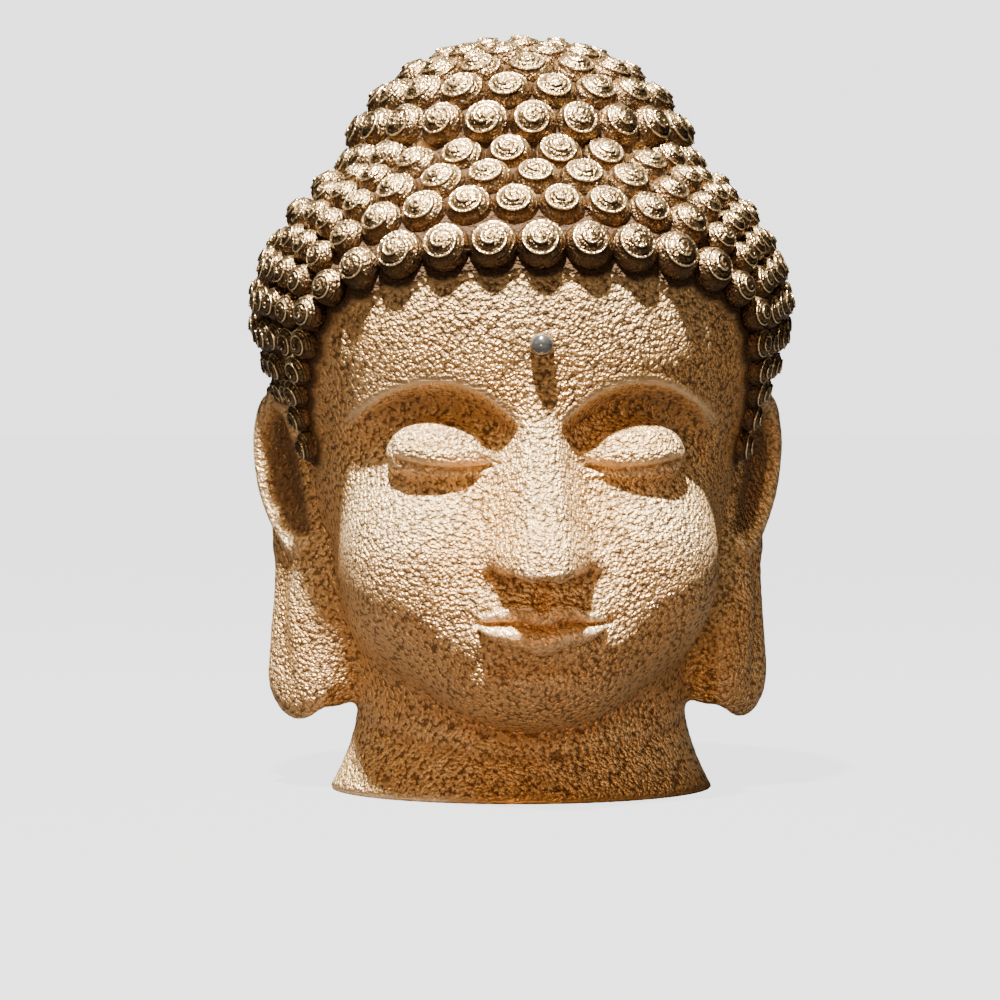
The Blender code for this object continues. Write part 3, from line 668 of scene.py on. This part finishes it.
def curlSource(name, turns, tail, per):
    profile = curl["profile"]
    steps = int(round((turns - 1.0) * per))
    body = bmesh.new()
    for part in ("crest", "groove", "wall"):
        body.verts.layers.float.new(part)
    layers = [body.verts.layers.float[part] for part in ("crest", "groove", "wall")]

    def point(spot, crest, groove, wall):
        vert = body.verts.new([value * 0.001 for value in spot])
        for layer, value in zip(layers, (crest, groove, wall)):
            vert[layer] = value
        return vert

    grid = []
    for i in range(steps + 1):
        around = math.radians(tail) + 2.0 * math.pi * (steps - i) / per
        fade = float(ramp((steps - i) / (0.35 * per)))
        for across, lift, crest, groove in profile:
            wound = i / per + across
            strength = (0.15 + 0.85 * fade) * (0.65 + 0.35 * min(1.0, wound))
            spot = curlPoint(around, curl["pitch"] * wound, lift * strength)
            grid.append(point(spot, crest * fade, groove, 0.0))
    wide = len(profile)
    at = lambda i, j: grid[i * wide + j] if j < wide else grid[(i + per) * wide + j - wide]
    for i in range(steps):
        for j in range(wide):
            if j == wide - 1 and i + 1 + per > steps:
                continue
            body.faces.new((at(i, j), at(i, j + 1), at(i + 1, j + 1), at(i + 1, j)))
    inner = [at(i, 0) for i in range(per + 1)] + [at(0, j) for j in range(wide - 1, 0, -1)]
    tip = point((0.0, 0.0, curl["rise"] - 2.0), 0.0, 1.0, 0.0)
    for first, second in zip(inner, inner[1:] + inner[:1]):
        body.faces.new((first, second, tip))
    rings = [[at(steps, j) for j in range(wide)] + [at(i, wide - 1) for i in range(steps - 1, steps - per - 1, -1)]]
    # below the winding the dome goes on plain, round to its foot
    for down, wall in ((0.5, 0.45), (1.0, 0.8), (1.4, 0.9)):
        ring = []
        for vert in rings[0]:
            around = math.atan2(vert.co.y, vert.co.x)
            edge = 2.0 / math.pi * math.asin(min(1.0, math.hypot(vert.co.x, vert.co.y) * 1000.0 / curl["radius"]))
            share = min(0.97, edge + (curl["shoulder"] / 90.0 - edge) * down)
            ring.append(point(curlPoint(around, share, 0.0), 0.0, 0.3, wall))
        rings.append(ring)
    rings.append([point((vert.co.x * 1000.0, vert.co.y * 1000.0, -curl["sunk"]), 0.0, 0.3, 1.0) for vert in rings[-1]])
    middle = point((0.0, 0.0, -curl["sunk"]), 0.0, 0.0, 1.0)
    for k in range(len(rings[0])):
        after = (k + 1) % len(rings[0])
        for upper, lower in zip(rings, rings[1:]):
            body.faces.new((upper[k], upper[after], lower[after], lower[k]))
        body.faces.new((rings[-1][k], rings[-1][after], middle))
    bmesh.ops.recalc_face_normals(body, faces=body.faces[:])
    mesh = bpy.data.meshes.new(name)
    body.to_mesh(mesh)
    body.free()
    mesh.shade_smooth()
    return objectFrom(name, mesh)


def curlTree(count):
    tree = bpy.data.node_groups.new("curl scatter", "GeometryNodeTree")
    face = tree.interface
    face.new_socket("Geometry", in_out="INPUT", socket_type="NodeSocketGeometry")
    for index in range(count):
        face.new_socket(f"Curl {index + 1}", in_out="INPUT", socket_type="NodeSocketObject")
    face.new_socket("Size Variation", in_out="INPUT", socket_type="NodeSocketFloat")
    face.new_socket("Seed", in_out="INPUT", socket_type="NodeSocketInt")
    face.new_socket("Finish", in_out="INPUT", socket_type="NodeSocketMaterial")
    face.new_socket("Geometry", in_out="OUTPUT", socket_type="NodeSocketGeometry")
    nodes, links = tree.nodes, tree.links
    start = nodes.new("NodeGroupInput")
    end = nodes.new("NodeGroupOutput")
    join = nodes.new("GeometryNodeJoinGeometry")
    for index in reversed(range(count)):
        info = nodes.new("GeometryNodeObjectInfo")
        info.inputs["As Instance"].default_value = True
        links.new(start.outputs[f"Curl {index + 1}"], info.inputs["Object"])
        links.new(info.outputs["Geometry"], join.inputs[0])
    spin = nodes.new("GeometryNodeInputNamedAttribute")
    spin.data_type = "FLOAT_VECTOR"
    spin.inputs["Name"].default_value = "spin"
    turned = nodes.new("FunctionNodeEulerToRotation")
    links.new(spin.outputs["Attribute"], turned.inputs["Euler"])
    size = nodes.new("FunctionNodeRandomValue")
    size.data_type = "FLOAT"
    less = nodes.new("ShaderNodeMath")
    less.operation = "SUBTRACT"
    less.inputs[0].default_value = 1.0
    links.new(start.outputs["Size Variation"], less.inputs[1])
    more = nodes.new("ShaderNodeMath")
    more.inputs[0].default_value = 1.0
    links.new(start.outputs["Size Variation"], more.inputs[1])
    links.new(less.outputs[0], size.inputs[2])
    links.new(more.outputs[0], size.inputs[3])
    links.new(start.outputs["Seed"], size.inputs["Seed"])
    which = nodes.new("FunctionNodeRandomValue")
    which.data_type = "INT"
    which.inputs[4].default_value = 0
    which.inputs[5].default_value = count - 1
    links.new(start.outputs["Seed"], which.inputs["Seed"])
    place = nodes.new("GeometryNodeInstanceOnPoints")
    place.inputs["Pick Instance"].default_value = True
    links.new(start.outputs["Geometry"], place.inputs["Points"])
    links.new(join.outputs[0], place.inputs["Instance"])
    links.new(which.outputs[2], place.inputs["Instance Index"])
    links.new(turned.outputs[0], place.inputs["Rotation"])
    ownSize = nodes.new("GeometryNodeInputNamedAttribute")
    ownSize.data_type = "FLOAT"
    ownSize.inputs["Name"].default_value = "size"
    scaled = nodes.new("ShaderNodeMath")
    scaled.operation = "MULTIPLY"
    links.new(size.outputs[1], scaled.inputs[0])
    links.new(ownSize.outputs["Attribute"], scaled.inputs[1])
    links.new(scaled.outputs[0], place.inputs["Scale"])
    real = nodes.new("GeometryNodeRealizeInstances")
    paint = nodes.new("GeometryNodeSetMaterial")
    links.new(place.outputs[0], real.inputs[0])
    links.new(real.outputs[0], paint.inputs["Geometry"])
    links.new(start.outputs["Finish"], paint.inputs["Material"])
    links.new(paint.outputs[0], end.inputs[0])
    return tree


def spins(places):
    turns = []
    dice = np.random.default_rng(7)
    for normal in outwardOf(skullForm, places):
        out = Vector(normal)
        up = Vector((0.0, 0.0, 1.0)) if out.z < 0.995 else Vector((0.0, 1.0, 0.0))
        up = (up - out * up.dot(out)).normalized()
        side = up.cross(out)
        twist = Matrix.Rotation(math.radians(dice.uniform(-curl["twist"], curl["twist"])), 3, "Z")
        turns.append((Matrix((side, up, out)).transposed() @ twist).to_euler())
    return np.array([tuple(turned) for turned in turns])


def makeCurls(material):
    kinds = list(enumerate(curl["windings"], 1))
    fine = [curlSource(f"fineCurl{i}", *winding, curl["finePoints"]) for i, winding in kinds]
    plain = [curlSource(f"plainCurl{i}", *winding, curl["plainPoints"]) for i, winding in kinds]
    tree = curlTree(len(fine))
    turned = spins(seats)
    stand = head["curlRise"] * (1.0 - seatSizes) * ramp((seats[:, 2] - 244.0) / 20.0)
    stand += seatLedges  # small curls and the front row stand out
    places = seats + outwardOf(skullForm, seats) * stand[:, None]
    knot = seats[:, 2] > rows["knotFoot"]
    front = ~knot & (seats[:, 1] < head["skullBack"])
    made = []
    for name, chosen, seed, sources in (("curlsFront", front, 3, fine), ("curlsBack", ~knot & ~front, 5, plain),
                                        ("curlsTopKnot", knot, 8, fine)):
        mesh = bpy.data.meshes.new(name)
        mesh.from_pydata((places[chosen] * 0.001).tolist(), [], [])
        layer = mesh.attributes.new("spin", "FLOAT_VECTOR", "POINT")
        layer.data.foreach_set("vector", turned[chosen].astype(np.float32).ravel())
        writeAttribute(mesh, "size", seatSizes[chosen])
        piece = objectFrom(name, mesh)
        scatter = piece.modifiers.new("curls", "NODES")
        scatter.node_group = tree
        sockets = {item.name: item.identifier for item in tree.interface.items_tree if item.in_out == "INPUT"}
        for index, source in enumerate(sources):
            scatter[sockets[f"Curl {index + 1}"]] = source
        scatter[sockets["Size Variation"]] = curl["variation"]
        scatter[sockets["Seed"]] = seed
        scatter[sockets["Finish"]] = material
        mesh = bakedMesh(piece)
        # painted shade: how far each spot on the curls faces down, for the finish to paint it darker
        writeAttribute(mesh, "low", ramp((0.66 - vertexArray(mesh, "normal")[:, 2]) / 0.42))
        print(name, len(mesh.polygons), "faces")
        made.append(piece)
    for source in fine + plain:
        bpy.data.objects.remove(source, do_unlink=True)
    return made


# materials

def nodeGroup(name, inputs, outputs):
    tree = bpy.data.node_groups.new(name, "ShaderNodeTree")
    for label in inputs:
        tree.interface.new_socket(label, in_out="INPUT", socket_type="NodeSocketFloat")
    for label in outputs:
        tree.interface.new_socket(label, in_out="OUTPUT", socket_type="NodeSocketFloat")
    return tree, tree.nodes.new("NodeGroupInput"), tree.nodes.new("NodeGroupOutput")


def attribute(tree, name):
    node = tree.nodes.new("ShaderNodeAttribute")
    node.attribute_name = name
    return node.outputs["Fac"]


def maths(tree, operation, first, second=None, clamp=False):
    node = tree.nodes.new("ShaderNodeMath")
    node.operation = operation
    node.use_clamp = clamp
    for socket, value in zip(node.inputs, (first, second)):
        if value is None:
            continue
        if isinstance(value, (int, float)):
            socket.default_value = value
        else:
            tree.links.new(value, socket)
    return node.outputs[0]


def mixed(tree, share, first, second):
    node = tree.nodes.new("ShaderNodeMix")
    node.data_type = "RGBA"
    colours = [socket for socket in node.inputs if socket.type == "RGBA"]
    for socket, value in ((node.inputs["Factor"], share), (colours[0], first), (colours[1], second)):
        if isinstance(value, tuple):
            socket.default_value = (*value, 1.0)
        else:
            tree.links.new(value, socket)
    return [socket for socket in node.outputs if socket.type == "RGBA"][0]


def ranged(tree, value, low, high, toLow=0.0, toHigh=1.0):
    node = tree.nodes.new("ShaderNodeMapRange")
    node.clamp = True
    for label, number in (("From Min", low), ("From Max", high), ("To Min", toLow), ("To Max", toHigh)):
        node.inputs[label].default_value = number
    tree.links.new(value, node.inputs["Value"])
    return node.outputs[0]


def noise(tree, scale, detail=3.0, roughness=0.5):
    where = tree.nodes.new("ShaderNodeTexCoord")
    node = tree.nodes.new("ShaderNodeTexNoise")
    node.inputs["Scale"].default_value = scale
    node.inputs["Detail"].default_value = detail
    node.inputs["Roughness"].default_value = roughness
    tree.links.new(where.outputs["Object"], node.inputs["Vector"])
    return node.outputs["Fac"]


def cellsOf(tree, scale, smooth=0.0):
    where = tree.nodes.new("ShaderNodeTexCoord")
    node = tree.nodes.new("ShaderNodeTexVoronoi")
    node.feature = "SMOOTH_F1" if smooth else "F1"
    node.inputs["Scale"].default_value = scale
    if smooth:
        node.inputs["Smoothness"].default_value = smooth
    node.inputs["Randomness"].default_value = 1.0
    tree.links.new(where.outputs["Object"], node.inputs["Vector"])
    return node.outputs["Distance"]


def hammeredGroup():
    # fine hammered grain: a height for the bump, and how deep a spot lies in it
    tree, start, end = nodeGroup("hammered grain", ["Amount"], ["Height", "Pit"])
    coarse = cellsOf(tree, 400.0, 0.3)
    fine = cellsOf(tree, 760.0, 0.3)
    drift = noise(tree, 240.0, 2.0, 0.6)
    total = maths(tree, "ADD", maths(tree, "MULTIPLY", coarse, 0.75), maths(tree, "MULTIPLY", fine, 0.35))
    total = maths(tree, "ADD", total, maths(tree, "MULTIPLY", drift, -0.5))
    height = maths(tree, "MULTIPLY", maths(tree, "SUBTRACT", 1.0, total), start.outputs["Amount"])
    pit = maths(tree, "MULTIPLY", ranged(tree, total, 0.33, 0.50), start.outputs["Amount"])
    tree.links.new(height, end.inputs["Height"])
    tree.links.new(pit, end.inputs["Pit"])
    return tree


def newMaterial(name, metallic, colour):
    material = bpy.data.materials.new(name)
    material.use_nodes = True
    shader = material.node_tree.nodes["Principled BSDF"]
    shader.inputs["Metallic"].default_value = metallic
    material.diffuse_color = (*colour, 1.0)
    return material, material.node_tree, shader


def bumped(tree, height, distance, strength, shader):
    node = tree.nodes.new("ShaderNodeBump")
    node.inputs["Distance"].default_value = distance
    node.inputs["Strength"].default_value = strength
    tree.links.new(height, node.inputs["Height"])
    tree.links.new(node.outputs["Normal"], shader.inputs["Normal"])


skinPaint = {
    "preview": (0.7, 0.46, 0.24), "metallic": 0.62, "gold": [(0.80, 0.50, 0.20), (0.92, 0.65, 0.33)],
    # painted shade: a darker, warmer colour on down-facing skin; the pit colour is partly a dark wash and partly
    # painted shadow in the hammered pits
    "paintedShadeBelow": (0.50, 0.25, 0.075), "edge": (0.94, 0.74, 0.50), "pit": (0.12, 0.065, 0.025),
    # the hollow colour is partly a dark wash and partly painted shade in creases; the ear colour is painted shade in
    # the ear's hollow; the scalp colour is painted shade under and between the curls
    "hollow": (0.16, 0.09, 0.04), "ear": (0.12, 0.06, 0.022), "scalp": (0.085, 0.045, 0.020),
    "gloss": (0.36, 0.48), "pitGloss": 0.2, "scalpGloss": 0.45, "grain": 0.0036,
}


def skinFinish(grain):
    material, tree, shader = newMaterial("gilded skin", skinPaint["metallic"], skinPaint["preview"])
    rough, hair = attribute(tree, "rough"), attribute(tree, "hair")
    crisp, hollow = attribute(tree, "crisp"), attribute(tree, "hollow")
    hammered = tree.nodes.new("ShaderNodeGroup")
    hammered.node_tree = grain
    tree.links.new(maths(tree, "MAXIMUM", rough, maths(tree, "MULTIPLY", hair, 0.8)), hammered.inputs["Amount"])
    cloud = noise(tree, 17.0, 3.0, 0.55)
    gold = mixed(tree, ranged(tree, cloud, 0.35, 0.65), *skinPaint["gold"])
    # painted shade: down-facing skin and the ear's hollow are painted darker, and so, partly, are the pits and creases
    for mask, share, colour in ((attribute(tree, "low"), 0.6, "paintedShadeBelow"), (crisp, 0.7, "edge"),
                                (hammered.outputs["Pit"], 0.85, "pit"), (hollow, 0.55, "hollow"),
                                (attribute(tree, "deep"), 0.85, "ear")):
        gold = mixed(tree, maths(tree, "MULTIPLY", mask, share), gold, skinPaint[colour])
    # painted shade: the scalp under and between the curls, with the ledge below the front row, is painted near black
    gold = mixed(tree, hair, gold, skinPaint["scalp"])
    tree.links.new(gold, shader.inputs["Base Color"])
    gloss = ranged(tree, noise(tree, 60.0, 2.0), 0.3, 0.7, *skinPaint["gloss"])
    for mask, more in ((hammered.outputs["Pit"], "pitGloss"), (hair, "scalpGloss")):
        gloss = maths(tree, "ADD", gloss, maths(tree, "MULTIPLY", mask, skinPaint[more]), clamp=True)
    tree.links.new(gloss, shader.inputs["Roughness"])
    bumped(tree, hammered.outputs["Height"], skinPaint["grain"], 1.0, shader)
    return material


hairPaint = {
    "preview": (0.7, 0.46, 0.24), "metallic": 1.0, "gold": [(0.80, 0.50, 0.20), (0.96, 0.69, 0.34)],
    # painted shade: a near-black colour for the down-facing sides of the curls; the groove colour is partly a dark
    # wash, partly painted shadow
    "speck": (0.20, 0.10, 0.04), "paintedShadeBelow": (0.050, 0.028, 0.014), "groove": (0.050, 0.025, 0.011),
    # the wall colour is partly a dark wash, partly painted shade at each curl's foot; the cord colour is partly rubbed
    # gilding, partly a painted highlight
    "wall": (0.085, 0.048, 0.024), "fleck": (0.34, 0.19, 0.08), "cord": (1.0, 0.77, 0.45),
    "gloss": (0.20, 0.34), "grooveGloss": 0.25, "grain": 0.0011,
}


def hairFinish():
    material, tree, shader = newMaterial("gilded hair", hairPaint["metallic"], hairPaint["preview"])
    crest, groove, wall = attribute(tree, "crest"), attribute(tree, "groove"), attribute(tree, "wall")
    cloud = noise(tree, 160.0, 3.0, 0.6)
    speck = noise(tree, 900.0, 2.0, 0.6)
    low = attribute(tree, "low")
    # painted shade: the down-facing sides of the curls are painted near black, broken by specks
    shadeBelowShare = maths(tree, "MULTIPLY", low, ranged(tree, speck, 0.40, 0.64, 0.97, 0.70))
    # the grooves are painted dark, partly a dark wash and partly painted shadow, and darker still where they face down
    # as painted shade
    sunk = maths(tree, "MULTIPLY", ranged(tree, groove, 0.1, 0.75), ranged(tree, low, 0.0, 0.6, 0.8, 0.95))
    flecks = ranged(tree, noise(tree, 620.0, 2.0, 0.7), 0.56, 0.66, 0.0, 0.7)
    gold = mixed(tree, ranged(tree, cloud, 0.35, 0.65), *hairPaint["gold"])
    # painted shade, partly a dark wash, darkens each curl's foot; the cord is painted paler, partly rubbed gilding and
    # partly a painted highlight
    for share, colour in ((ranged(tree, speck, 0.47, 0.64, 0.0, 0.45), "speck"), (shadeBelowShare, "paintedShadeBelow"), (sunk, "groove"),
                          (ranged(tree, wall, 0.1, 0.7, 0.0, 0.85), "wall"), (maths(tree, "MULTIPLY", flecks, wall), "fleck"),
                          (ranged(tree, crest, 0.45, 0.9), "cord")):
        gold = mixed(tree, share, gold, hairPaint[colour])
    tree.links.new(gold, shader.inputs["Base Color"])
    gloss = ranged(tree, cloud, 0.3, 0.7, *hairPaint["gloss"])
    gloss = maths(tree, "ADD", gloss, maths(tree, "MULTIPLY", groove, hairPaint["grooveGloss"]), clamp=True)
    tree.links.new(gloss, shader.inputs["Roughness"])
    grainHeight = maths(tree, "ADD", noise(tree, 420.0, 2.0, 0.6), maths(tree, "MULTIPLY", cellsOf(tree, 620.0), -0.6))
    bumped(tree, grainHeight, hairPaint["grain"], 0.9, shader)
    return material


beadPaint = {
    "preview": (0.3, 0.31, 0.32), "metallic": 0.85, "grey": [(0.17, 0.165, 0.16), (0.26, 0.25, 0.24)], "gloss": (0.12, 0.22),
}


def beadFinish():
    material, tree, shader = newMaterial("grey bead", beadPaint["metallic"], beadPaint["preview"])
    cloud = noise(tree, 180.0, 3.0, 0.5)
    tone = mixed(tree, ranged(tree, cloud, 0.35, 0.65), *beadPaint["grey"])
    tree.links.new(tone, shader.inputs["Base Color"])
    tree.links.new(ranged(tree, cloud, 0.3, 0.7, *beadPaint["gloss"]), shader.inputs["Roughness"])
    return material


def makeBead():
    low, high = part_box("forehead_bead")
    centre, radius = (low + high) / 2.0, (high - low).y / 2.0
    body = bmesh.new()
    bmesh.ops.create_uvsphere(body, u_segments=48, v_segments=24, radius=radius)
    bmesh.ops.rotate(body, verts=body.verts[:], matrix=Matrix.Rotation(math.pi / 2.0, 3, "X"), cent=(0.0, 0.0, 0.0))
    bmesh.ops.translate(body, verts=body.verts[:], vec=centre)
    mesh = bpy.data.meshes.new("bead")
    body.to_mesh(mesh)
    body.free()
    mesh.shade_smooth()
    return objectFrom("bead", mesh)


headPiece = makeHead()
headPiece.data.materials.clear()
headPiece.data.materials.append(skinFinish(hammeredGroup()))
hairMaterial = hairFinish()
curlPieces = makeCurls(hairMaterial)
bead = makeBead()
bead.data.materials.append(beadFinish())
for piece in [headPiece] + curlPieces:
    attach(piece, "root")
    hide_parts("head_casting")
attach(bead, "root")
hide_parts("forehead_bead")
print("pieces made")


# floor, light and surroundings

studio = {
    "key": 680.0, "fill": 0.6, "warm": 36.0, "lobes": 66.0, "sky": 0.022, "skyColour": (1.0, 0.80, 0.58, 1.0),
    "back": 2.6, "floor": (0.05, 0.048, 0.046), "floorGlow": 2.5,
}

floorMesh = bpy.data.meshes.new("floor")
floorMesh.from_pydata([(-30, -30, 0), (30, -30, 0), (30, 30, 0), (-30, 30, 0)], [], [(0, 1, 2, 3)])
floor = objectFrom("floor", floorMesh)
floorMaterial, floorTree, floorShader = newMaterial("floor", 0.0, studio["floor"])
floorTone = mixed(floorTree, noise(floorTree, 3.0), studio["floor"], (0.056, 0.054, 0.052))
floorTree.links.new(floorTone, floorShader.inputs["Base Color"])
floorShader.inputs["Roughness"].default_value = 0.9
floorShader.inputs["Specular IOR Level"].default_value = 0.0
floorShader.inputs["Emission Color"].default_value = (1.0, 1.0, 1.0, 1.0)
floorPath = floorTree.nodes.new("ShaderNodeLightPath")  # pale to the eye, without lighting the head from below
floorGlow = maths(floorTree, "MULTIPLY", floorPath.outputs["Is Camera Ray"], studio["floorGlow"])
floorTree.links.new(floorGlow, floorShader.inputs["Emission Strength"])
floorMesh.materials.append(floorMaterial)


def softBox(name, place, target, power, size, colour=(1.0, 1.0, 1.0)):
    lamp = bpy.data.lights.new(name, "AREA")
    lamp.shape = "DISK"
    lamp.size = size
    lamp.energy = power
    lamp.color = colour
    made = bpy.data.objects.new(name, lamp)
    made.location = place
    made.rotation_euler = (Vector(target) - Vector(place)).to_track_quat("-Z", "Y").to_euler()
    bpy.context.scene.collection.objects.link(made)
    return made


softBox("key", (-0.28, -1.00, 2.51), (0.0, -0.05, 0.22), studio["key"], 0.14, (1.0, 0.97, 0.92))
softBox("fillLeft", (-1.8, -1.1, 0.8), (0.0, 0.0, 0.2), 2.5 * studio["fill"], 1.2)
softBox("fillRight", (1.9, -0.9, 0.9), (0.0, 0.0, 0.2), studio["fill"], 1.2)


def spot(name, place, target, power, degrees, colour):
    lamp = bpy.data.lights.new(name, "SPOT")
    lamp.energy = power
    lamp.color = colour
    lamp.spot_size = math.radians(degrees)
    lamp.spot_blend = 1.0
    lamp.shadow_soft_size = 0.12
    made = bpy.data.objects.new(name, lamp)
    made.location = place
    made.rotation_euler = (Vector(target) - Vector(place)).to_track_quat("-Z", "Y").to_euler()
    bpy.context.scene.collection.objects.link(made)


spot("glow", (-0.25, -1.1, 0.05), (0.0, 0.0, 0.04), studio["warm"], 25.0, (1.0, 0.46, 0.13))  # as thrown back by a ground
spot("lobeLeft", (-0.55, -1.1, 0.85), (-0.133, 0.0, 0.105), studio["lobes"], 9.0, (1.0, 0.80, 0.50))
spot("lobeRight", (0.35, -1.15, 0.85), (0.133, 0.0, 0.105), 0.75 * studio["lobes"], 9.0, (1.0, 0.72, 0.42))

world = bpy.data.worlds.new("surroundings")
world.use_nodes = True
bpy.context.scene.world = world
sky = world.node_tree
back = sky.nodes["Background"]
path = sky.nodes.new("ShaderNodeLightPath")
level = sky.nodes.new("ShaderNodeMapRange")
level.inputs["To Min"].default_value = studio["sky"]
level.inputs["To Max"].default_value = studio["back"]
sky.links.new(path.outputs["Is Camera Ray"], level.inputs["Value"])
sky.links.new(level.outputs[0], back.inputs["Strength"])
tint = sky.nodes.new("ShaderNodeMix")
tint.data_type = "RGBA"
tint.inputs[6].default_value = studio["skyColour"]
tint.inputs[7].default_value = (1.0, 1.0, 1.0, 1.0)
sky.links.new(path.outputs["Is Camera Ray"], tint.inputs["Factor"])
sky.links.new(tint.outputs[2], back.inputs["Color"])
print("studio set")
